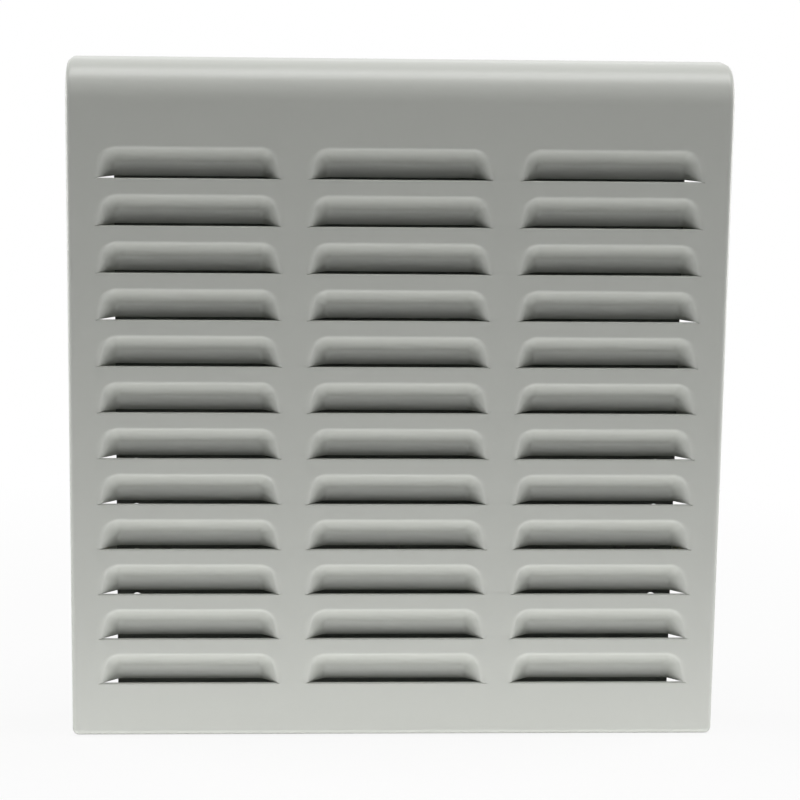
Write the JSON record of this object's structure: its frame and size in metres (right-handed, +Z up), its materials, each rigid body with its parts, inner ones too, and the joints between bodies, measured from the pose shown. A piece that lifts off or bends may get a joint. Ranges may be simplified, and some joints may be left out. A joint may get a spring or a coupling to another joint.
{
  "type": "louvred vent cover",
  "caption": "Folded sheet-metal vent cover with rows of inward-pressed louvres, a large bend over the top, and a baffle on rails behind it.",
  "frame": {"origin": "centre of the four fixing inserts, in the plane of the return flange's rear face", "axes": "+Y from the louvred face to the enclosure wall, +Z up along the louvre columns, +X to the right as seen from the front"},
  "size_m": [0.252, 0.032, 0.263],
  "materials": {
    "powder_coat": "light grey powder coat with a fine orange-peel gloss",
    "dark_coat": "dark matt coat",
    "rivet_steel": "plain steel",
    "plated_steel": "zinc plated",
    "foam": "closed-cell foam strip"
  },
  "bodies": {
    "root": {"louvred_cover": "powder_coat", "baffle_plate": "dark_coat", "rail_upper": "powder_coat", "rail_middle": "powder_coat", "rail_lower": "powder_coat", "rivets_upper": "rivet_steel", "rivets_middle": "rivet_steel", "rivets_lower": "rivet_steel", "insert_upper_left": "plated_steel", "insert_upper_right": "plated_steel", "insert_lower_left": "plated_steel", "insert_lower_right": "plated_steel", "rear_gasket": "foam"}
  },
  "joints": []
}
